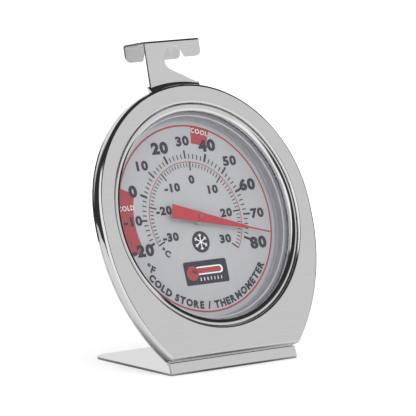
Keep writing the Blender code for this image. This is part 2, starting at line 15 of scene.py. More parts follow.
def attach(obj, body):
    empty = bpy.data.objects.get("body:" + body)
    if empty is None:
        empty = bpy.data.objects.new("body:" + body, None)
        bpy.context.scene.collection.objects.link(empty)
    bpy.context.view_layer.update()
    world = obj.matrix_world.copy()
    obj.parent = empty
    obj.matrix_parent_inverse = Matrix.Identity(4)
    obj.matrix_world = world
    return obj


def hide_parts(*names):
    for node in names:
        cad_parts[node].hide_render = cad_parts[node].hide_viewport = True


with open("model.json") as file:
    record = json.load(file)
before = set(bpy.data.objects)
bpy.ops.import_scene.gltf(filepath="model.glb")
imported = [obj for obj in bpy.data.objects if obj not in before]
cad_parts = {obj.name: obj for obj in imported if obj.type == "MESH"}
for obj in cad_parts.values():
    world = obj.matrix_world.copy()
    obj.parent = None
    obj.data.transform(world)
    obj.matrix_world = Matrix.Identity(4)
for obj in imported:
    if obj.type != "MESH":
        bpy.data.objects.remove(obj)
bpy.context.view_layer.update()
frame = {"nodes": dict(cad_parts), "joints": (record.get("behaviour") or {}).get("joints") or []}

# The case axis: the arbor's joint runs straight back through the middle of the case, so the joint gives both
# the centre of the face and how far the case leans back on its stand.
MM = 0.001
arbor_joint = frame["joints"][0]
face_centre = Vector(arbor_joint["pos_m"])
face_normal = -Vector(arbor_joint["axis"]).normalized()
face_right = Vector((1.0, 0.0, 0.0))
face_up = face_normal.cross(face_right)
lean_back = Matrix((face_right, face_up, face_normal)).transposed().to_4x4()
case_place = Matrix.Translation(face_centre) @ lean_back


def depth_span(node):
    """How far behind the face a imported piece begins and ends, in millimetres."""
    depths = [-(vertex.co - face_centre).dot(face_normal) for vertex in frame["nodes"][node].data.vertices]
    return min(depths) / MM, max(depths) / MM


def reach(node):
    """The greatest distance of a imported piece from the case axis, in millimetres."""
    spokes = [vertex.co - face_centre for vertex in frame["nodes"][node].data.vertices]
    return max((spoke - spoke.dot(face_normal) * face_normal).length for spoke in spokes) / MM


# Rear can: a can drawn from thin sheet, flanged at its mouth, with a smaller cup for the coil and six vents.
# Plain mill-finish steel, darker and duller than the front, with the faint straight lines of rolled sheet.
def case_mapping(nodes, links, turn=0.0):
    """Object coordinates counted from the middle of the face, along the case's own axes."""
    coordinates = nodes.new("ShaderNodeTexCoord")
    mapping = nodes.new("ShaderNodeMapping")
    mapping.vector_type = "TEXTURE"
    mapping.inputs["Location"].default_value = face_centre
    mapping.inputs["Rotation"].default_value = (lean_back @ Matrix.Rotation(turn, 4, "Z")).to_euler()
    links.new(coordinates.outputs["Object"], mapping.inputs["Vector"])
    return mapping.outputs["Vector"]


def start_group(name, inputs, outputs):
    """An empty shader group with its sockets, and its input and output nodes."""
    group = bpy.data.node_groups.new(name, "ShaderNodeTree")
    for socket_name, kind, value in inputs:
        socket = group.interface.new_socket(socket_name, in_out="INPUT", socket_type=kind)
        if value is not None:
            socket.default_value = value
    for socket_name, kind in outputs:
        group.interface.new_socket(socket_name, in_out="OUTPUT", socket_type=kind)
    return group, group.nodes.new("NodeGroupInput"), group.nodes.new("NodeGroupOutput")


def brushed_grain_group():
    """Fine straight brush lines along X, and broad faint clouds where hands have polished the sheet."""
    group, given, made = start_group(
        "brushed_grain",
        [("Vector", "NodeSocketVector", None), ("Fineness", "NodeSocketFloat", 3500.0)],
        [("Lines", "NodeSocketFloat"), ("Clouds", "NodeSocketFloat")],
    )
    nodes, links = group.nodes, group.links
    stretch = nodes.new("ShaderNodeVectorMath")
    stretch.operation = "MULTIPLY"
    stretch.inputs[1].default_value = (0.02, 1.0, 1.0)
    lines = nodes.new("ShaderNodeTexNoise")
    lines.inputs["Detail"].default_value = 3.0
    lines.inputs["Roughness"].default_value = 0.65
    clouds = nodes.new("ShaderNodeTexNoise")
    clouds.inputs["Scale"].default_value = 55.0
    clouds.inputs["Detail"].default_value = 4.0
    links.new(given.outputs["Vector"], stretch.inputs[0])
    links.new(stretch.outputs["Vector"], lines.inputs["Vector"])
    links.new(given.outputs["Fineness"], lines.inputs["Scale"])
    links.new(given.outputs["Vector"], clouds.inputs["Vector"])
    links.new(lines.outputs["Fac"], made.inputs["Lines"])
    links.new(clouds.outputs["Fac"], made.inputs["Clouds"])
    return group


brushed_grain = brushed_grain_group()


def spread(nodes, links, source, low, high, start=0.3, end=0.7):
    """Stretches a noise value to run from low to high."""
    remap = nodes.new("ShaderNodeMapRange")
    remap.inputs["From Min"].default_value = start
    remap.inputs["From Max"].default_value = end
    remap.inputs["To Min"].default_value = low
    remap.inputs["To Max"].default_value = high
    links.new(source, remap.inputs["Value"])
    return remap.outputs["Result"]


def tint(nodes, links, source, dark, light):
    """Mixes two colours by a noise value."""
    mix = nodes.new("ShaderNodeMix")
    mix.data_type = "RGBA"
    mix.inputs["A"].default_value = (*dark, 1.0)
    mix.inputs["B"].default_value = (*light, 1.0)
    links.new(spread(nodes, links, source, 0.0, 1.0), mix.inputs["Factor"])
    return mix.outputs["Result"]


def bumped(nodes, links, shader, height, distance):
    """Raises the surface by a noise value, as high as the distance in metres."""
    bump = nodes.new("ShaderNodeBump")
    bump.inputs["Distance"].default_value = distance
    links.new(height, bump.inputs["Height"])
    links.new(bump.outputs["Normal"], shader.inputs["Normal"])


def sheet_metal(name, dark, light, rough_low, rough_high, fineness=3500.0, turn=0.0, depth=0.000002):
    """Rolled and brushed sheet: brush lines in its colour, gloss and surface, clouds in its gloss."""
    material = bpy.data.materials.new(name)
    material.use_nodes = True
    nodes, links = material.node_tree.nodes, material.node_tree.links
    shader = nodes["Principled BSDF"]
    shader.inputs["Metallic"].default_value = 1.0
    grain = nodes.new("ShaderNodeGroup")
    grain.node_tree = brushed_grain
    grain.inputs["Fineness"].default_value = fineness
    links.new(case_mapping(nodes, links, turn), grain.inputs["Vector"])
    links.new(tint(nodes, links, grain.outputs["Lines"], dark, light), shader.inputs["Base Color"])
    gloss = nodes.new("ShaderNodeMath")
    gloss.operation = "MULTIPLY"
    links.new(spread(nodes, links, grain.outputs["Lines"], 0.85, 1.15), gloss.inputs[0])
    links.new(spread(nodes, links, grain.outputs["Clouds"], rough_low, rough_high), gloss.inputs[1])
    links.new(gloss.outputs["Value"], shader.inputs["Roughness"])
    bumped(nodes, links, shader, grain.outputs["Lines"], depth)
    return material


def soften(obj, sharp=35.0):
    """Smooth shading between the real corners, with broad flat faces kept flat."""
    obj.data.shade_smooth()
    obj.data.set_sharp_from_angle(angle=math.radians(sharp))
    even = obj.modifiers.new("Even shading", "WEIGHTED_NORMAL")
    even.keep_sharp = True
    even.weight = 80


def in_case(bm, name, material):
    """Turns a finished mesh, drawn in the case's axes in millimetres, into a piece that leans with it."""
    bmesh.ops.scale(bm, verts=bm.verts, vec=(MM, MM, MM))
    bmesh.ops.transform(bm, matrix=case_place, verts=bm.verts)
    return as_piece(bm, name, material)


def as_piece(bm, name, material):
    """Turns a finished mesh, drawn in metres where it belongs, into a piece."""
    mesh = bpy.data.meshes.new(name)
    bm.to_mesh(mesh)
    bm.free()
    mesh.materials.append(material)
    piece = bpy.data.objects.new(name, mesh)
    bpy.context.scene.collection.objects.link(piece)
    return piece


def eased_copy(node, edge, material, name, corner=50.0):
    """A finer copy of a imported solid: its triangles merged into real faces and its sharp edges broken."""
    bm = bmesh.new()
    bm.from_mesh(frame["nodes"][node].data)
    bmesh.ops.remove_doubles(bm, verts=bm.verts, dist=1e-6)
    bmesh.ops.dissolve_limit(bm, angle_limit=math.radians(0.5), verts=bm.verts, edges=bm.edges)
    sharp = [e for e in bm.edges if len(e.link_faces) == 2 and e.calc_face_angle() > math.radians(corner)]
    bmesh.ops.bevel(
        bm,
        geom=sharp,
        offset=edge * MM,
        segments=2,
        affect="EDGES",
        profile=0.5,
        material=-1,
        clamp_overlap=True,
    )
    piece = as_piece(bm, name, material)
    soften(piece)
    return piece


CAN_DARK = (0.52, 0.52, 0.53)
CAN_LIGHT = (0.60, 0.60, 0.61)
can_metal = sheet_metal("can_steel", CAN_DARK, CAN_LIGHT, 0.26, 0.36, 2200.0, depth=0.0000006)
can = eased_copy("rear_can", 0.12, can_metal, "drawn_can")
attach(can, "case")
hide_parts("rear_can")


# Movement: a brass bridge on three riveted posts, two bushes, and the bimetal spiral that turns the arbor.
# They stay sealed in the can, seen only through its vents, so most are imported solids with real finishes.
def turned_metal(name, dark, light, rough_low, rough_high):
    """Bar stock turned on a lathe: rings about the case axis, with a little tarnish in the colour."""
    material = bpy.data.materials.new(name)
    material.use_nodes = True
    nodes, links = material.node_tree.nodes, material.node_tree.links
    shader = nodes["Principled BSDF"]
    shader.inputs["Metallic"].default_value = 1.0
    place = case_mapping(nodes, links)
    rings = nodes.new("ShaderNodeTexWave")
    rings.wave_type = "RINGS"
    rings.rings_direction = "Z"
    rings.inputs["Scale"].default_value = 900.0
    rings.inputs["Distortion"].default_value = 1.5
    rings.inputs["Detail"].default_value = 2.0
    tarnish = nodes.new("ShaderNodeTexNoise")
    tarnish.inputs["Scale"].default_value = 420.0
    tarnish.inputs["Detail"].default_value = 5.0
    links.new(place, rings.inputs["Vector"])
    links.new(place, tarnish.inputs["Vector"])
    links.new(tint(nodes, links, tarnish.outputs["Fac"], dark, light), shader.inputs["Base Color"])
    rough = spread(nodes, links, tarnish.outputs["Fac"], rough_low, rough_high)
    links.new(rough, shader.inputs["Roughness"])
    bumped(nodes, links, shader, rings.outputs["Fac"], 0.000003)
    return material


def refinish(nodes, material):
    """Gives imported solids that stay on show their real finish."""
    for node in nodes:
        frame["nodes"][node].data.materials.clear()
        frame["nodes"][node].data.materials.append(material)


brass = turned_metal("brass", (0.42, 0.29, 0.11), (0.70, 0.52, 0.24), 0.22, 0.40)
ground_steel = turned_metal("ground_steel", (0.36, 0.36, 0.38), (0.52, 0.52, 0.54), 0.20, 0.34)
bimetal = sheet_metal("bimetal", (0.26, 0.22, 0.18), (0.44, 0.38, 0.31), 0.28, 0.45, 1800.0)
brass_nodes = ["movement_bridge", "standoff_1", "standoff_2", "standoff_3"]
brass_nodes += ["front_bearing", "rear_bearing", "coil_anchor_pin", "coil_collet"]
refinish(brass_nodes, brass)
refinish(["arbor"], ground_steel)
refinish(["bimetal_coil"], bimetal)
for number in (1, 2, 3):
    rivet = eased_copy(f"rivet_{number}", 0.1, ground_steel, f"peened_rivet_{number}")
    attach(rivet, "case")
    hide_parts(f"rivet_{number}")


# Grey rings: the moulded ring that holds the dial up off the can's floor, and the one that spaces the glass
# from the dial. The upper one is the wall seen round the dial, with a painted highlight on its lip and a small
# foot fillet.
def sprayed_paint(name, dark, light, roughness, flake=0.0):
    """Sprayed paint: faint mottling, fine orange peel, and metal flake where the paint has it."""
    material = bpy.data.materials.new(name)
    material.use_nodes = True
    nodes, links = material.node_tree.nodes, material.node_tree.links
    shader = nodes["Principled BSDF"]
    shader.inputs["Metallic"].default_value = flake
    place = case_mapping(nodes, links)
    mottle = nodes.new("ShaderNodeTexNoise")
    mottle.inputs["Scale"].default_value = 260.0
    mottle.inputs["Detail"].default_value = 6.0
    peel = nodes.new("ShaderNodeTexNoise")
    peel.inputs["Scale"].default_value = 2600.0
    peel.inputs["Detail"].default_value = 2.0
    links.new(place, mottle.inputs["Vector"])
    links.new(place, peel.inputs["Vector"])
    links.new(tint(nodes, links, mottle.outputs["Fac"], dark, light), shader.inputs["Base Color"])
    rough = spread(nodes, links, mottle.outputs["Fac"], roughness - 0.05, roughness + 0.05)
    links.new(rough, shader.inputs["Roughness"])
    bumped(nodes, links, shader, peel.outputs["Fac"], 0.000004)
    return material


def chain(bm, points):
    """Joins points (radius, depth) into one line of edges in the XZ plane."""
    verts = [bm.verts.new((radius, 0.0, -depth)) for radius, depth in points]
    for first, second in zip(verts, verts[1:]):
        bm.edges.new((first, second))
    return verts


def spun(points, steps=160, closed=True):
    """A ring or disc turned from its section about the case axis, with its faces outwards."""
    bm = bmesh.new()
    verts = chain(bm, points)
    if closed:
        bm.edges.new((verts[-1], verts[0]))
    bmesh.ops.spin(
        bm,
        geom=bm.verts[:] + bm.edges[:],
        cent=(0, 0, 0),
        axis=(0, 0, 1),
        angle=math.tau,
        steps=steps,
        use_merge=True,
    )
    bmesh.ops.remove_doubles(bm, verts=bm.verts, dist=1e-5)
    bmesh.ops.recalc_face_normals(bm, faces=bm.faces)
    return bm


def quarter(centre_radius, centre_depth, width, height, start, end, steps=8):
    """Points on part of an ellipse in a section, with angles in degrees from outwards towards the front."""
    points = []
    for step in range(steps + 1):
        angle = math.radians(start + (end - start) * step / steps)
        points.append((centre_radius + width * math.cos(angle), centre_depth - height * math.sin(angle)))
    return points


ring_front, ring_back = depth_span("spacer_ring")
ring_outer = reach("spacer_ring")
WALL_RADIUS = 31.7
LIP = 0.35
FOOT = 0.6
section = [(ring_outer, ring_back), (ring_outer, ring_front)]
section += quarter(WALL_RADIUS + LIP, ring_front + LIP, LIP, LIP, 90, 180)
section += quarter(WALL_RADIUS - FOOT, ring_back - FOOT, FOOT, FOOT, 0, -90)
section += [(WALL_RADIUS - FOOT, ring_back)]
grey_paint = sprayed_paint("ring_grey", (0.26, 0.25, 0.29), (0.31, 0.30, 0.34), 0.42)
wall_ring = in_case(spun(section), "dial_wall_ring", grey_paint)
soften(wall_ring)
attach(wall_ring, "case")
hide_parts("spacer_ring")
refinish(["dial_support_ring"], grey_paint)

# Painted highlight on the lip of the grey ring: a lighter grey on the ring's inner front corner that stands in
# for the light the lip catches. It stands proud of the ring by the thickness of the paint.
LIP_HIGHLIGHT_WIDTH = 0.3
PAINT_FILM = 0.02
lip_inner = WALL_RADIUS - PAINT_FILM
lip_outer = WALL_RADIUS + LIP_HIGHLIGHT_WIDTH
section = [(lip_outer, ring_front - PAINT_FILM), (lip_outer, ring_front + LIP_HIGHLIGHT_WIDTH)]
section += [(lip_inner, ring_front + LIP_HIGHLIGHT_WIDTH), (lip_inner, ring_front - PAINT_FILM)]
# Painted highlight: a lighter grey paint standing for the light that the lip catches.
painted_highlight_paint = sprayed_paint("lip_painted_highlight", (0.52, 0.52, 0.54), (0.58, 0.58, 0.60), 0.35)
lip_highlight_piece = in_case(spun(section), "wall_lip_highlight", painted_highlight_paint)
soften(lip_highlight_piece)
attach(lip_highlight_piece, "case")

# Dial plate: a disc blanked from aluminium sheet, with the arbor hole at its middle. It is sprayed with fine
# silver lacquer and held at its rim between the two grey rings.
dial_front, dial_back = depth_span("dial_plate")
dial_radius = reach("dial_plate")
ARBOR_HOLE = 1.2
BLANKED_EDGE = 0.06
edge_radius = dial_radius - BLANKED_EDGE
section = quarter(edge_radius, dial_front + BLANKED_EDGE, BLANKED_EDGE, BLANKED_EDGE, 90, 0, 3)
section += [(dial_radius, dial_back), (ARBOR_HOLE, dial_back), (ARBOR_HOLE, dial_front)]
silver_lacquer = sprayed_paint("dial_silver", (0.435, 0.43, 0.448), (0.465, 0.46, 0.478), 0.45, 0.15)
dial = in_case(spun(section), "silver_dial", silver_lacquer)
soften(dial)
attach(dial, "case")
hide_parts("dial_plate")

# Scale print: screen-printed ink, a few hundredths of a millimetre proud of the lacquer. Angles run clockwise
# from the top, and both scales share one sweep, degrees Fahrenheit outside and Celsius inside.
INK = 0.03
ANGLE_AT_ZERO_F = -64.8
ANGLE_PER_F = 2.2295
ink_depth = dial_front - INK / 2


def angle_of_f(reading):
    """Where a reading in degrees Fahrenheit stands on the dial."""
    return math.radians(ANGLE_AT_ZERO_F + ANGLE_PER_F * reading)


def angle_of_c(reading):
    """Where a reading in degrees Celsius stands on the same sweep."""
    return angle_of_f(reading * 1.8 + 32)


def dial_turn(angle):
    """The turn that carries the top of the dial clockwise to an angle."""
    return Matrix.Rotation(-angle, 4, "Z")


def print_block(bm, width, length, radius, angle, rise=0.0):
    """A printed bar that points along a radius, centred at that radius."""
    place = dial_turn(angle) @ Matrix.Translation((0, radius, rise - ink_depth))
    size = Matrix.Diagonal((width, length, INK, 1.0))
    bmesh.ops.create_cube(bm, size=1.0, matrix=place @ size)


def print_band(bm, inner, outer, start, end, rise=0.0):
    """A printed band between two radii and two angles."""
    steps = max(2, round(abs(end - start) / math.radians(1.5)))
    height = rise - ink_depth + INK / 2
    ends = [bm.verts.new((0.0, radius, height)) for radius in (inner, outer)]
    line = [*ends, bm.edges.new(ends)]
    bmesh.ops.rotate(bm, verts=ends, cent=(0, 0, 0), matrix=dial_turn(start).to_3x3())
    bmesh.ops.spin(
        bm,
        geom=line,
        cent=(0, 0, 0),
        axis=(0, 0, 1),
        angle=start - end,
        steps=steps,
        use_merge=abs(end - start) > math.tau - 0.001,
    )


def ink(name, colour, roughness=0.5):
    """Screen ink: one flat colour with the slight unevenness of a hand-pulled print."""
    material = bpy.data.materials.new(name)
    material.use_nodes = True
    nodes, links = material.node_tree.nodes, material.node_tree.links
    shader = nodes["Principled BSDF"]
    shader.inputs["Specular IOR Level"].default_value = 0.25
    cover = nodes.new("ShaderNodeTexNoise")
    cover.inputs["Scale"].default_value = 1500.0
    links.new(case_mapping(nodes, links), cover.inputs["Vector"])
    thin = tuple(min(1.0, channel * 1.18 + 0.004) for channel in colour)
    links.new(tint(nodes, links, cover.outputs["Fac"], colour, thin), shader.inputs["Base Color"])
    rough = spread(nodes, links, cover.outputs["Fac"], roughness - 0.06, roughness + 0.06)
    links.new(rough, shader.inputs["Roughness"])
    return material


navy_ink = ink("navy_ink", (0.010, 0.006, 0.026))
red_ink = ink("red_ink", (0.33, 0.030, 0.040))
white_ink = ink("white_ink", (0.78, 0.76, 0.76))


def printed(bm, name, material):
    """Puts a finished print on the dial, which stays with the case."""
    piece = in_case(bm, name, material)
    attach(piece, "case")
    return piece


F_READINGS = (-20, 80)
F_STEP = 2
F_TICKS_START = 18.9
F_MINOR_END = 20.4
F_MAJOR_END = 21.6
F_MINOR_WIDTH = 0.36
F_MAJOR_WIDTH = 0.6
F_BOLD_WIDTH = 0.75
C_READINGS = (-30, 30)
C_TICKS_START = 17.5
C_MINOR_END = 16.2
C_MAJOR_END = 15.1
C_MINOR_WIDTH = 0.3
C_MAJOR_WIDTH = 0.46
ARC_LINE = 17.87
ARC_LINE_WIDTH = 0.26
bm = bmesh.new()
for reading in range(F_READINGS[0], F_READINGS[1] + 1, F_STEP):
    major = reading % 10 == 0
    bold = reading % 20 == 0
    end = F_MAJOR_END if major else F_MINOR_END
    width = F_BOLD_WIDTH if bold else F_MAJOR_WIDTH if major else F_MINOR_WIDTH
    print_block(bm, width, end - F_TICKS_START, (F_TICKS_START + end) / 2, angle_of_f(reading))
for reading in range(C_READINGS[0], C_READINGS[1] + 1):
    major = reading % 10 == 0
    start = ARC_LINE if major else C_TICKS_START
    end = C_MAJOR_END if major else C_MINOR_END
    width = C_MAJOR_WIDTH if major else C_MINOR_WIDTH
    print_block(bm, width, start - end, (start + end) / 2, angle_of_c(reading))
printed(bm, "scale_ticks", navy_ink)

RED_LINE = 29.4
RED_LINE_WIDTH = 0.55
BAND_INNER = 23.8
COOL_ZONE = (33.6, 39.8)
COLD_ZONE = (-20.2, -0.6)
bm = bmesh.new()
print_band(bm, RED_LINE - RED_LINE_WIDTH / 2, RED_LINE + RED_LINE_WIDTH / 2, 0.0, math.tau)
arc_ends = [angle_of_c(reading) for reading in C_READINGS]
print_band(bm, ARC_LINE - ARC_LINE_WIDTH / 2, ARC_LINE + ARC_LINE_WIDTH / 2, *arc_ends)
for zone in (COOL_ZONE, COLD_ZONE):
    print_band(bm, BAND_INNER, RED_LINE, angle_of_f(zone[0]), angle_of_f(zone[1]))
bmesh.ops.recalc_face_normals(bm, faces=bm.faces)
printed(bm, "scale_lines", red_ink)


# Figures and captions: printed over the lines in the same inks. The figures stand upright at their marks,
# every second one of the outer scale is large, and the arched caption follows the red line.
CAPTION_WEIGHT = 0.062
LETTER_SPACING = 1.15


def set_type(words, height, weight, stretch=1.0):
    """Words set in type as a flat mesh, scaled to a height, widened and centred on the origin."""
    type_set = bpy.data.curves.new("type", "FONT")
    type_set.body = words
    type_set.offset = weight
    type_set.space_character = LETTER_SPACING
    type_set.resolution_u = 3
    holder = bpy.data.objects.new("type", type_set)
    bpy.context.scene.collection.objects.link(holder)
    mesh = bpy.data.meshes.new_from_object(holder.evaluated_get(bpy.context.evaluated_depsgraph_get()))
    bpy.data.objects.remove(holder)
    xs = [vertex.co.x for vertex in mesh.vertices]
    ys = [vertex.co.y for vertex in mesh.vertices]
    scale = height / (max(ys) - min(ys))
    middle = Vector(((max(xs) + min(xs)) / 2, (max(ys) + min(ys)) / 2, 0.0))
    mesh.transform(Matrix.Diagonal((scale * stretch, scale, scale, 1.0)) @ Matrix.Translation(-middle))
    return mesh


def type_width(words, height):
    """How wide the caption's type sets some words."""
    mesh = set_type(words, height, CAPTION_WEIGHT)
    width = 2 * max(vertex.co.x for vertex in mesh.vertices)
    bpy.data.meshes.remove(mesh)
    return width


def lettering(bm, words, height, place, weight=0.0, stretch=1.0):
    """Adds printed lettering to a mesh, a film of ink above the lacquer."""
    mesh = set_type(words, height, weight, stretch)
    mesh.transform(place @ Matrix.Translation((0, 0, INK - ink_depth)))
    bm.from_mesh(mesh)
    bpy.data.meshes.remove(mesh)


def at_polar(radius, angle):
    """A place on the dial, upright, at a radius and an angle."""
    return Matrix.Translation((radius * math.sin(angle), radius * math.cos(angle), 0.0))


F_FIGURES = 24.5
F_LARGE = 3.95
F_LARGE_WEIGHT = 0.06
F_SMALL = 3.2
F_SMALL_WEIGHT = 0.052
F_STRETCH = 1.22
C_FIGURES = 12.3
C_HEIGHT = 2.8
C_WEIGHT = 0.055
C_STRETCH = 1.2
bm = bmesh.new()
for reading in range(F_READINGS[0], F_READINGS[1] + 1, 10):
    large = reading % 20 == 0
    height = F_LARGE if large else F_SMALL
    weight = F_LARGE_WEIGHT if large else F_SMALL_WEIGHT
    lettering(bm, str(reading), height, at_polar(F_FIGURES, angle_of_f(reading)), weight, F_STRETCH)
for reading in range(C_READINGS[0], C_READINGS[1] + 1, 10):
    place = at_polar(C_FIGURES, angle_of_c(reading))
    lettering(bm, str(reading), C_HEIGHT, place, C_WEIGHT, C_STRETCH)
UNIT_WEIGHT = 0.045
UNIT_STRETCH = 1.1
unit_tilt = Matrix.Rotation(math.radians(-33), 4, "Z")
c_place = Matrix.Translation((-14.2, -9.5, 0)) @ unit_tilt
f_place = Matrix.Translation((-21.25, -13.8, 0)) @ unit_tilt
lettering(bm, "°C", 2.3, c_place, UNIT_WEIGHT, UNIT_STRETCH)
lettering(bm, "°F", 2.6, f_place, UNIT_WEIGHT, UNIT_STRETCH)
CAPTION = "COLD STORE / THERMOMETER"
CAPTION_HEIGHT = 2.45
CAPTION_RADIUS = 27.35
CAPTION_GAP = 0.30
CAPTION_SPACE = 0.8
letter_widths = []
for letter in CAPTION:
    letter_widths.append(CAPTION_SPACE if letter == " " else type_width(letter, CAPTION_HEIGHT))
run = -(sum(letter_widths) + CAPTION_GAP * (len(CAPTION) - 1)) / 2
for letter, width in zip(CAPTION, letter_widths):
    angle = math.pi - (run + width / 2) / CAPTION_RADIUS
    run += width + CAPTION_GAP
    if letter != " ":
        place = at_polar(CAPTION_RADIUS, angle) @ dial_turn(angle - math.pi)
        lettering(bm, letter, CAPTION_HEIGHT, place, CAPTION_WEIGHT)
printed(bm, "scale_figures", navy_ink)

ZONE_HEIGHT = 1.55
ZONE_WEIGHT = 0.01
COOL_RADIUS = 28.05
COLD_PLACE = Matrix.Translation((-26.0, 5.5, 0))
cool_middle = angle_of_f(sum(COOL_ZONE) / 2)
bm = bmesh.new()
lettering(bm, "COOL", ZONE_HEIGHT, at_polar(COOL_RADIUS, cool_middle) @ dial_turn(cool_middle), ZONE_WEIGHT)
lettering(bm, "COLD", ZONE_HEIGHT, COLD_PLACE, ZONE_WEIGHT)
printed(bm, "zone_captions", white_ink)


# Snowflake disc and badge: a dark disc with a plain six-armed snowflake for cold use, and a dark panel with a
# thermometer sign over seven marks. Both are printed like the scale, with each colour over the last.
MARK_PLACE = Matrix.Translation((0.0, -7.5, 0.0))
MARK_RADIUS = 3.4
BADGE_PLACE = Matrix.Translation((-0.3, -17.0, 0.0))
BADGE_WIDTH = 17.0
BADGE_HEIGHT = 7.4
BADGE_CORNER = 0.7
WHITE_RISE = 1.5 * INK
TWIG_RISE = 1.6 * INK
RED_RISE = 2.5 * INK


def raised(place, rise):
    """The same place, at a height above the middle of the first ink."""
    return place @ Matrix.Translation((0, 0, rise - ink_depth))


def rounded_panel(bm, place, length, width, corner, steps):
    """A flat panel with round corners, lying along X."""
    size = Matrix.Diagonal((length, width, 1, 1))
    made = bmesh.ops.create_grid(bm, x_segments=1, y_segments=1, size=0.5, matrix=place @ size)
    bmesh.ops.bevel(
        bm,
        geom=made["verts"],
        offset=corner,
        segments=steps,
        affect="VERTICES",
        profile=0.5,
        material=-1,
    )


def sign_bar(bm, place, width, length, rise):
    """A bar with round ends, lying along X."""
    rounded_panel(bm, raised(place, rise), length, width, width * 0.48, 5)


bm = bmesh.new()
disc_place = raised(MARK_PLACE, INK / 2)
bmesh.ops.create_circle(bm, cap_ends=True, segments=64, radius=MARK_RADIUS, matrix=disc_place)
rounded_panel(bm, raised(BADGE_PLACE, INK / 2), BADGE_WIDTH, BADGE_HEIGHT, BADGE_CORNER, 4)
printed(bm, "badge_panels", navy_ink)

ARM_WIDTH = 0.34
ARM_LENGTH = 2.6
TWIG_WIDTH = 0.26
TWIG_LENGTH = 0.85
TWIG_START = 1.75
TWIG_ANGLE = 50
bm = bmesh.new()
for arm in range(6):
    along = MARK_PLACE @ Matrix.Rotation(math.radians(60 * arm + 30), 4, "Z")
    sign_bar(bm, along @ Matrix.Translation((ARM_LENGTH / 2, 0, 0)), ARM_WIDTH, ARM_LENGTH, WHITE_RISE)
    for side in (-1, 1):
        branch = Matrix.Rotation(math.radians(TWIG_ANGLE * side), 4, "Z")
        twig = along @ Matrix.Translation((TWIG_START, 0, 0)) @ branch
        sign_bar(bm, twig @ Matrix.Translation((0.42, 0, 0)), TWIG_WIDTH, TWIG_LENGTH, TWIG_RISE)
TUBE_WIDTH = 2.6
TUBE_LENGTH = 11.0
MARKS = 7
MARK_SPACING = 1.35
FIRST_MARK = -2.6
MARK_DROP = -2.1
upright = Matrix.Rotation(math.pi / 2, 4, "Z")
sign_bar(bm, BADGE_PLACE @ Matrix.Translation((1.2, 0.6, 0)), TUBE_WIDTH, TUBE_LENGTH, WHITE_RISE)
for mark in range(MARKS):
    spot = Matrix.Translation((FIRST_MARK + MARK_SPACING * mark, MARK_DROP, 0))
    sign_bar(bm, BADGE_PLACE @ spot @ upright, 0.3, 1.1, WHITE_RISE)
printed(bm, "badge_white", white_ink)

COLUMN_WIDTH = 1.7
COLUMN_LENGTH = 11.6
BULB_RADIUS = 2.3
bm = bmesh.new()
sign_bar(bm, BADGE_PLACE @ Matrix.Translation((0.2, 0.6, 0)), COLUMN_WIDTH, COLUMN_LENGTH, RED_RISE)
bulb_place = raised(BADGE_PLACE @ Matrix.Translation((-5.4, 0.0, 0.0)), RED_RISE)
bmesh.ops.create_circle(bm, cap_ends=True, segments=48, radius=BULB_RADIUS, matrix=bulb_place)
printed(bm, "badge_red", red_ink)

# Pointer: blanked from thin aluminium, with a broad square tail and a fine needle, and painted red. It is
# pressed on the end of a small steel hub, whose flange shows a little past its edge.
pointer_front, pointer_back = depth_span("pointer")
rest_angle = math.radians(105.3)
POINTER_TIP = 27.9
POINTER_TAIL = 10.5
TAIL_HALF = 2.25
NEEDLE_START = 17.6
NEEDLE_TAPER = 1.5
NEEDLE_HALF = 0.25
NEEDLE_POINT = 1.0
bm = bmesh.new()
half = [(TAIL_HALF, -POINTER_TAIL), (2 * NEEDLE_HALF, NEEDLE_START)]
half += [(NEEDLE_HALF, NEEDLE_START + NEEDLE_TAPER), (NEEDLE_HALF, POINTER_TIP - NEEDLE_POINT)]
half += [(0.0, POINTER_TIP)]
outline = half + [(-x, y) for x, y in reversed(half[:-1])]
blank = bm.faces.new([bm.verts.new((x, y, -pointer_back)) for x, y in outline])
lifted = bmesh.ops.extrude_face_region(bm, geom=[blank])["geom"]
top = [item for item in lifted if isinstance(item, bmesh.types.BMVert)]
bmesh.ops.translate(bm, verts=top, vec=(0, 0, pointer_back - pointer_front))
bmesh.ops.recalc_face_normals(bm, faces=bm.faces)
edges = [e for e in bm.edges if e.calc_face_angle() > math.radians(50)]
bmesh.ops.bevel(bm, geom=edges, offset=0.07, segments=2, affect="EDGES", profile=0.5, material=-1)
bmesh.ops.rotate(bm, verts=bm.verts, cent=(0, 0, 0), matrix=dial_turn(rest_angle).to_3x3())
pointer_paint = sprayed_paint("pointer_red", (0.39, 0.005, 0.018), (0.45, 0.007, 0.026), 0.36)
pointer = in_case(bm, "red_pointer", pointer_paint)
soften(pointer)
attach(pointer, "pointer")
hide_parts("pointer")

hub_back = depth_span("pointer_hub")[1]
HUB_FLANGE = 2.3
HUB_HEAD = 0.7
HEAD_SUNK = 0.1
FLANGE_EDGE = 0.08
SKIRT = 0.3
SKIRT_RADIUS = 1.3
seat = pointer_back + 0.05
section = [(0.0, pointer_front + HEAD_SUNK), (HUB_HEAD * 0.55, pointer_front + HEAD_SUNK * 0.92)]
section += [(HUB_HEAD * 0.9, pointer_front + HEAD_SUNK * 0.45), (HUB_HEAD, pointer_front + 0.12)]
section += [(HUB_HEAD, seat), (HUB_FLANGE - FLANGE_EDGE, seat), (HUB_FLANGE, seat + FLANGE_EDGE)]
section += [(HUB_FLANGE, hub_back - SKIRT), (SKIRT_RADIUS, hub_back), (0.0, hub_back)]
hub = in_case(spun(section, 48, closed=False), "peened_hub", ground_steel)
soften(hub)
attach(hub, "pointer")
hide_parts("pointer_hub")

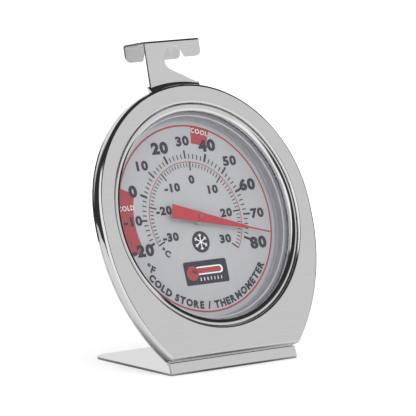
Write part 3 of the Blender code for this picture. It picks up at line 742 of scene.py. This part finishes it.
# Pointer boss: the painted metal of the pointer, drawn up into a small dome where it is pressed over the hub
# and the end of the arbor. It has the same red paint.
BOSS_RADIUS = 0.95
BOSS_COVER = 0.15
BOSS_ROOT = 0.1
boss_top = depth_span("arbor")[0] - BOSS_COVER
boss_rise = pointer_front - boss_top
boss_root = pointer_front + BOSS_ROOT
section = [(0.0, pointer_front - boss_rise), (BOSS_RADIUS * 0.5, pointer_front - boss_rise * 0.85)]
section += [(BOSS_RADIUS, pointer_front - 0.02), (BOSS_RADIUS, boss_root), (0.0, boss_root)]
boss = in_case(spun(section, 40, closed=False), "pointer_boss", pointer_paint)
soften(boss, 60)
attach(boss, "pointer")

# Glass: a flat disc of clear glass with ground edges, held between the polished ring and the grey ring.
# Light for the dial passes straight through it.
glass_front, glass_back = depth_span("glass_lens")
glass_radius = reach("glass_lens")
GROUND_EDGE = 0.15
flat_radius = glass_radius - GROUND_EDGE
section = [(0.0, glass_front), (flat_radius, glass_front), (glass_radius, glass_front + GROUND_EDGE)]
section += [(glass_radius, glass_back - GROUND_EDGE), (flat_radius, glass_back), (0.0, glass_back)]
clear_glass = bpy.data.materials.new("clear_glass")
clear_glass.use_nodes = True
nodes, links = clear_glass.node_tree.nodes, clear_glass.node_tree.links
glass_shader = nodes["Principled BSDF"]
glass_shader.inputs["Base Color"].default_value = (0.96, 0.975, 0.975, 1.0)
glass_shader.inputs["Transmission Weight"].default_value = 1.0
glass_shader.inputs["IOR"].default_value = 1.5
haze = nodes.new("ShaderNodeTexNoise")
haze.inputs["Scale"].default_value = 90.0
links.new(case_mapping(nodes, links), haze.inputs["Vector"])
links.new(spread(nodes, links, haze.outputs["Fac"], 0.0, 0.03), glass_shader.inputs["Roughness"])
see_through = nodes.new("ShaderNodeBsdfTransparent")
see_through.inputs["Color"].default_value = (0.96, 0.97, 0.97, 1.0)
rays = nodes.new("ShaderNodeLightPath")
not_seen = nodes.new("ShaderNodeMath")
not_seen.operation = "MAXIMUM"
links.new(rays.outputs["Is Shadow Ray"], not_seen.inputs[0])
links.new(rays.outputs["Is Diffuse Ray"], not_seen.inputs[1])
pane_mix = nodes.new("ShaderNodeMixShader")
links.new(not_seen.outputs["Value"], pane_mix.inputs["Fac"])
links.new(glass_shader.outputs["BSDF"], pane_mix.inputs[1])
links.new(see_through.outputs["BSDF"], pane_mix.inputs[2])
links.new(pane_mix.outputs["Shader"], nodes["Material Output"].inputs["Surface"])
glass = in_case(spun(section, closed=False), "flat_glass", clear_glass)
soften(glass, 20)
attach(glass, "case")
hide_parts("glass_lens")

# Polished ring: spun stainless, polished bright. A broad shallow brow falls from its flat lip and turns over
# tightly at the glass. It sits in the opening of the shell and holds the glass down.
bezel_front, bezel_back = depth_span("bezel_ring")
bezel_outer = reach("bezel_ring")
LIP_OUTER = 34.9
LIP_ROUND = 0.25
BROW = 4.5
BROW_START = 96
BROW_END = 114
INNER_EDGE = 0.45
INNER_REACH = 32.87
SHOULDER = 1.9
section = [(bezel_outer, bezel_back), (bezel_outer, SHOULDER), (LIP_OUTER, SHOULDER)]
section += quarter(LIP_OUTER - LIP_ROUND, bezel_front + LIP_ROUND, LIP_ROUND, LIP_ROUND, 0, 90, 4)
brow_end = math.radians(BROW_END)
edge_middle = INNER_REACH + INNER_EDGE
brow_middle = edge_middle + (INNER_EDGE - BROW) * math.cos(brow_end)
brow_depth = bezel_front + BROW * math.sin(math.radians(BROW_START))
edge_depth = brow_depth - (BROW - INNER_EDGE) * math.sin(brow_end)
section += quarter(brow_middle, brow_depth, BROW, BROW, BROW_START, BROW_END, 12)
section += quarter(edge_middle, edge_depth, INNER_EDGE, INNER_EDGE, BROW_END, 180, 8)
section += [(INNER_REACH, bezel_back)]
MIRROR_DARK = (0.80, 0.80, 0.80)
MIRROR_LIGHT = (0.84, 0.84, 0.84)
mirror_steel = sheet_metal("mirror_steel", MIRROR_DARK, MIRROR_LIGHT, 0.03, 0.05, 5200.0, depth=0.0000002)
bezel = in_case(spun(section, 192), "polished_bezel", mirror_steel)
soften(bezel)
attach(bezel, "case")
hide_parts("bezel_ring")


# Front shell: one pressing of satin stainless sheet. Its face is round, draws in to a flat bottom, turns down
# to a short rim all round, and rolls inwards at the opening.
def swing(bm, start, centre, angle, steps):
    """Draws the arc that a point makes as it turns about a centre in the plane of the face."""
    point = bm.verts.new((*start, 0.0))
    bmesh.ops.spin(bm, geom=[point], cent=(*centre, 0.0), axis=(0, 0, 1), angle=angle, steps=steps)


def close_gaps(bm):
    """Welds the drawn arcs, then closes each straight gap between two loose ends that face each other."""
    bmesh.ops.remove_doubles(bm, verts=bm.verts, dist=1e-4)
    loose = [vert for vert in bm.verts if len(vert.link_edges) == 1]
    loose.sort(key=lambda vert: (vert.co.y < -BOTTOM_CORNER * 5, vert.co.x))
    for first, second in zip(loose[::2], loose[1::2]):
        bm.edges.new((first, second))


CASE_RADIUS = 41.3
FLANK_RADIUS = 58.9
FLANK_START = 3.0
BOTTOM_DROP = 43.5
BOTTOM_CORNER = 2.0
SHELL_SHEET = 0.6
SHELL_RIM = 3.0
RIM_BEND = 1.0
OPENING = 35.2
OPENING_DEPTH = 1.55
OPENING_ROLL = 0.75


def case_outline(bm):
    """The outline of the case as one closed loop of edges: a round top, two flanks and a flat bottom."""
    swing(bm, (CASE_RADIUS, 0.0), (0.0, 0.0), math.pi, 144)
    corner_y = BOTTOM_CORNER - BOTTOM_DROP
    corner_reach = FLANK_RADIUS - BOTTOM_CORNER
    sweep = math.asin((corner_y + FLANK_START) / corner_reach)
    corner_x = CASE_RADIUS - FLANK_RADIUS + corner_reach * math.cos(sweep)
    for side in (1, -1):
        flank_centre = (side * (CASE_RADIUS - FLANK_RADIUS), -FLANK_START)
        swing(bm, (side * CASE_RADIUS, -FLANK_START), flank_centre, side * sweep, 40)
        meet_x = side * (corner_x + BOTTOM_CORNER * math.cos(sweep))
        meet_y = corner_y + BOTTOM_CORNER * math.sin(sweep)
        swing(bm, (meet_x, meet_y), (side * corner_x, corner_y), -side * (math.pi / 2 + sweep), 8)
    close_gaps(bm)
    return bm.edges[:]


def pull(bm, edges, vec):
    """Extrudes a loop of edges and moves the new loop."""
    made = bmesh.ops.extrude_edge_only(bm, edges=edges)["geom"]
    verts = [item for item in made if isinstance(item, bmesh.types.BMVert)]
    bmesh.ops.translate(bm, verts=verts, vec=vec)


bm = bmesh.new()
outer_loop = case_outline(bm)
ring = bmesh.ops.create_circle(bm, segments=192, radius=OPENING)["verts"]
inner_loop = list({edge for vert in ring for edge in vert.link_edges})
bmesh.ops.bridge_loops(bm, edges=outer_loop + inner_loop)
pull(bm, outer_loop, (0, 0, -SHELL_RIM))
pull(bm, inner_loop, (0, 0, -OPENING_DEPTH))
bmesh.ops.recalc_face_normals(bm, faces=bm.faces)
bmesh.ops.bevel(bm, geom=outer_loop, offset=RIM_BEND, segments=6, affect="EDGES", profile=0.5, material=-1)
corners = [edge for edge in bm.edges if edge.calc_face_angle(0) > math.radians(60)]
corners = [edge for edge in corners if edge.verts[0].co.xy.length < CASE_RADIUS - 5]
bmesh.ops.bevel(bm, geom=corners, offset=OPENING_ROLL, segments=12, affect="EDGES", profile=0.5, material=-1)
SATIN_DARK = (0.78, 0.78, 0.78)
SATIN_LIGHT = (0.82, 0.82, 0.82)
satin_steel = sheet_metal("satin_steel", SATIN_DARK, SATIN_LIGHT, 0.06, 0.10, depth=0.0000005)
shell = in_case(bm, "pressed_shell", satin_steel)
gauge = shell.modifiers.new("Sheet", "SOLIDIFY")
gauge.thickness = SHELL_SHEET * MM
gauge.offset = -1.0
gauge.use_even_offset = True
soften(shell)
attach(shell, "case")
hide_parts("front_shell")

# Back plate: one blank of the same sheet, with the hanging hook folded over at the top and the stand folded
# back at the bottom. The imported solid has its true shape, so a copy of it gets rounded sheet edges. The flap
# behind the hook has the duller finish of the sheet's other side.
FLAP_HEIGHT = 48.0
FLAP_DEPTH = 5.0
DULL_DARK = (0.90, 0.90, 0.90)
DULL_LIGHT = (0.94, 0.94, 0.94)
plate = eased_copy("back_plate", 0.12, satin_steel, "folded_plate", 60.0)
dull_steel = sheet_metal("dull_steel", DULL_DARK, DULL_LIGHT, 0.42, 0.50, depth=0.0000005)
plate.data.materials.append(dull_steel)
for polygon in plate.data.polygons:
    spot = case_place.inverted() @ polygon.center / MM
    if spot.y > FLAP_HEIGHT and spot.z < -FLAP_DEPTH:
        polygon.material_index = 1
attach(plate, "case")
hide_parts("back_plate")

# Crease: the blank is set back over the top of the case before it rises as the hook, which leaves a short
# slope round the case in the same satin sheet. It is its own narrow ring sector, set into the sheet.
CREASE_START = math.radians(77.5)
CREASE_SWEEP = math.radians(27.2)
CREASE_INNER = 41.2
CREASE_OUTER = 43.1
CREASE_FRONT = 2.2
CREASE_FOOT = 3.2
CREASE_BACK = 3.7
bm = bmesh.new()
slope = [(CREASE_INNER, CREASE_FRONT), (CREASE_OUTER, CREASE_FOOT)]
verts = chain(bm, [*slope, (CREASE_OUTER, CREASE_BACK), (CREASE_INNER, CREASE_BACK)])
bm.edges.new((verts[-1], verts[0]))
line = verts + bm.edges[:]
bmesh.ops.rotate(bm, verts=verts, cent=(0, 0, 0), matrix=Matrix.Rotation(CREASE_START, 3, "Z"))
bmesh.ops.spin(bm, geom=line, cent=(0, 0, 0), axis=(0, 0, 1), angle=CREASE_SWEEP, steps=40)
bmesh.ops.holes_fill(bm, edges=bm.edges)
bmesh.ops.recalc_face_normals(bm, faces=bm.faces)
crease = in_case(bm, "plate_crease", satin_steel)
soften(crease)
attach(crease, "case")


# Studio: a small white table under a white room. Two soft windows light the dial and are left out of the
# steel, which mirrors the room instead: pale walls, grey cards where the flat faces look, and dark boards
# overhead, in front, at the right and behind, which draw the dark lines of the bent edges. The table melts
# into the white round the object.
def softbox(name, azimuth, elevation, distance, width, height, radiance):
    """A rectangular soft light that looks at the face, with azimuth 0 in front of the case."""
    light = bpy.data.lights.new(name, "AREA")
    light.shape = "RECTANGLE"
    light.size = width
    light.size_y = height
    light.energy = radiance * math.pi * width * height
    holder = bpy.data.objects.new(name, light)
    a, e = math.radians(azimuth), math.radians(elevation)
    towards = Vector((math.sin(a) * math.cos(e), -math.cos(a) * math.cos(e), math.sin(e)))
    holder.location = face_centre + towards * distance
    holder.rotation_mode = "QUATERNION"
    holder.rotation_quaternion = towards.to_track_quat("Z", "Y")
    holder.visible_glossy = False
    bpy.context.scene.collection.objects.link(holder)


softbox("key_window", 8, 32, 0.9, 0.7, 0.6, 1.4)
softbox("fill_window", -60, 25, 1.1, 0.8, 0.8, 0.5)

world = bpy.data.worlds.new("white_room")
world.use_nodes = True
nodes, links = world.node_tree.nodes, world.node_tree.links
room = nodes["Background"]
room.inputs["Color"].default_value = (1.0, 1.0, 1.0, 1.0)
looking = nodes.new("ShaderNodeTexCoord")
parts = nodes.new("ShaderNodeSeparateXYZ")
links.new(looking.outputs["Generated"], parts.inputs["Vector"])


def fade(source, start, end, from_value, to_value):
    """A value that goes straight from one number to another as its source passes two marks."""
    ramp = nodes.new("ShaderNodeMapRange")
    ramp.inputs["From Min"].default_value = start
    ramp.inputs["From Max"].default_value = end
    ramp.inputs["To Min"].default_value = from_value
    ramp.inputs["To Max"].default_value = to_value
    links.new(source, ramp.inputs["Value"])
    return ramp.outputs["Result"]


def product(first, second):
    """Two values multiplied."""
    both = nodes.new("ShaderNodeMath")
    both.operation = "MULTIPLY"
    links.new(first, both.inputs[0])
    links.new(second, both.inputs[1])
    return both.outputs["Value"]


def blend(factor, first, second):
    """A value mixed towards a plain number."""
    mix = nodes.new("ShaderNodeMix")
    mix.data_type = "FLOAT"
    links.new(factor, mix.inputs["Factor"])
    links.new(first, mix.inputs["A"])
    mix.inputs["B"].default_value = second
    return mix.outputs["Result"]


def card(direction, start, end):
    """A round patch of the room about a direction, soft at its edge."""
    facing = nodes.new("ShaderNodeVectorMath")
    facing.operation = "DOT_PRODUCT"
    facing.inputs[1].default_value = Vector(direction).normalized()
    links.new(looking.outputs["Generated"], facing.inputs[0])
    return fade(facing.outputs["Value"], start, end, 0.0, 1.0)


BOARD_LEVEL = 0.03
FACE_CARD_LEVEL = 0.68
BROW_CARD_LEVEL = 0.70
BACKDROP_LEVEL = 1.3
to_right, to_back, to_top = parts.outputs["X"], parts.outputs["Y"], parts.outputs["Z"]
above_table = fade(to_top, -0.10, -0.085, 0.0, 1.0)
ceiling_height = nodes.new("ShaderNodeMath")
links.new(to_top, ceiling_height.inputs[0])
links.new(fade(to_right, -0.2, 0.0, -0.35, 0.0), ceiling_height.inputs[1])
below_ceiling = fade(ceiling_height.outputs["Value"], 0.42, 0.45, 1.0, 0.0)
right_board = fade(to_right, 0.84, 0.90, 1.0, 0.0)
in_front = product(fade(to_back, -0.5, -0.3, 1.0, 0.0), fade(to_top, 0.10, 0.22, 0.0, 1.0))
middle = product(fade(to_right, 0.0, 0.08, 0.0, 1.0), fade(to_right, 0.36, 0.46, 1.0, 0.0))
front_board = fade(product(in_front, middle), 0.0, 1.0, 1.0, 0.0)
behind = fade(to_back, -0.08, 0.08, 0.0, 1.0)
behind_left = product(behind, fade(to_right, -0.10, 0.10, 1.0, 0.0))
back_board = fade(behind_left, 0.0, 1.0, 1.0, 0.0)
paler_back = fade(to_back, 0.1, 0.5, 1.0, 0.82)
boards = product(product(right_board, front_board), back_board)
white_walls = product(product(above_table, below_ceiling), boards)
walls = fade(product(white_walls, paler_back), 0.0, 1.0, BOARD_LEVEL, 1.0)
walls = blend(card((0.626, -0.693, 0.358), 0.95, 0.975), walls, FACE_CARD_LEVEL)
walls = blend(card((0.63, -0.77, -0.05), 0.93, 0.96), walls, BROW_CARD_LEVEL)
rays = nodes.new("ShaderNodeLightPath")
level = nodes.new("ShaderNodeMix")
level.data_type = "FLOAT"
level.inputs["A"].default_value = 1.0
links.new(walls, level.inputs["B"])
links.new(rays.outputs["Is Glossy Ray"], level.inputs["Factor"])
seen = nodes.new("ShaderNodeMix")
seen.data_type = "FLOAT"
seen.inputs["B"].default_value = BACKDROP_LEVEL
links.new(rays.outputs["Is Camera Ray"], seen.inputs["Factor"])
links.new(level.outputs["Result"], seen.inputs["A"])
links.new(seen.outputs["Result"], room.inputs["Strength"])
bpy.context.scene.world = world

TABLE_RADIUS = 0.55
TABLE_GLOW = 0.22
# Painted shade, seen only in reflections: close round the object the table's colour is dark, standing for its
# shadow under the case, and it is somewhat dimmer further out.
SHADE_PAINTED_INSIDE = 0.024
SHADE_PAINTED_OUTSIDE = 0.042
MELT_START = 0.045
MELT_END = 0.16
table_middle = Matrix.Translation((0.22, -0.24, 0.0))
bm = bmesh.new()
bmesh.ops.create_circle(bm, cap_ends=True, segments=96, radius=TABLE_RADIUS, matrix=table_middle)
table_white = bpy.data.materials.new("table_white")
table_white.use_nodes = True
nodes, links = table_white.node_tree.nodes, table_white.node_tree.links
rays = nodes.new("ShaderNodeLightPath")
matt = nodes["Principled BSDF"]
matt.inputs["Roughness"].default_value = 0.9
matt.inputs["Emission Color"].default_value = (1.0, 1.0, 1.0, 1.0)
links.new(fade(rays.outputs["Is Glossy Ray"], 0.0, 1.0, TABLE_GLOW, 0.0), matt.inputs["Emission Strength"])
where = nodes.new("ShaderNodeTexCoord")
distance = nodes.new("ShaderNodeVectorMath")
distance.operation = "LENGTH"
links.new(where.outputs["Object"], distance.inputs[0])
# Painted shade: glossy rays see the table darkened near the object and dimmed beyond.
painted_shade = fade(distance.outputs["Value"], SHADE_PAINTED_INSIDE, SHADE_PAINTED_OUTSIDE, 1.0, 0.25)
painted_shade_colour = nodes.new("ShaderNodeMix")
painted_shade_colour.data_type = "RGBA"
painted_shade_colour.inputs["A"].default_value = (0.95, 0.95, 0.95, 1.0)
painted_shade_colour.inputs["B"].default_value = (0.15, 0.15, 0.15, 1.0)
links.new(product(painted_shade, rays.outputs["Is Glossy Ray"]), painted_shade_colour.inputs["Factor"])
links.new(painted_shade_colour.outputs["Result"], matt.inputs["Base Color"])
edge = fade(distance.outputs["Value"], MELT_START, MELT_END, 0.0, 1.0)
clear = nodes.new("ShaderNodeBsdfTransparent")
melt = nodes.new("ShaderNodeMixShader")
links.new(product(edge, rays.outputs["Is Camera Ray"]), melt.inputs["Fac"])
links.new(matt.outputs["BSDF"], melt.inputs[1])
links.new(clear.outputs["BSDF"], melt.inputs[2])
links.new(melt.outputs["Shader"], nodes["Material Output"].inputs["Surface"])
table = as_piece(bm, "table", table_white)

# Camera: a long lens at the left of the case, a little above the middle of the face. Its bearings are counted
# from straight in front of the case, and its offsets are in metres.
VIEW_AZIMUTH = math.radians(-39.2478)
VIEW_ELEVATION = math.radians(8.3813)
VIEW_ROLL = math.radians(0.1525)
VIEW_DISTANCE = 1.2315
VIEW_LEFT = 0.00031
VIEW_RISE = 0.00171
LENS = 346.15
lens = bpy.data.cameras.new("studio_camera")
lens.lens = LENS
lens.sensor_width = 36.0
camera = bpy.data.objects.new("studio_camera", lens)
back = Vector(
    (
        math.sin(VIEW_AZIMUTH) * math.cos(VIEW_ELEVATION),
        -math.cos(VIEW_AZIMUTH) * math.cos(VIEW_ELEVATION),
        math.sin(VIEW_ELEVATION),
    )
)
right = (-back).cross(Vector((0, 0, 1))).normalized()
up = right.cross(-back)
camera.location = face_centre + back * VIEW_DISTANCE - right * VIEW_LEFT + up * VIEW_RISE
camera.rotation_mode = "QUATERNION"
level_view = Matrix((right, up, back)).transposed()
camera.rotation_quaternion = (Matrix.Rotation(VIEW_ROLL, 3, back) @ level_view).to_quaternion()
bpy.context.scene.collection.objects.link(camera)
bpy.context.scene.camera = camera
bpy.context.scene.view_settings.view_transform = "Standard"
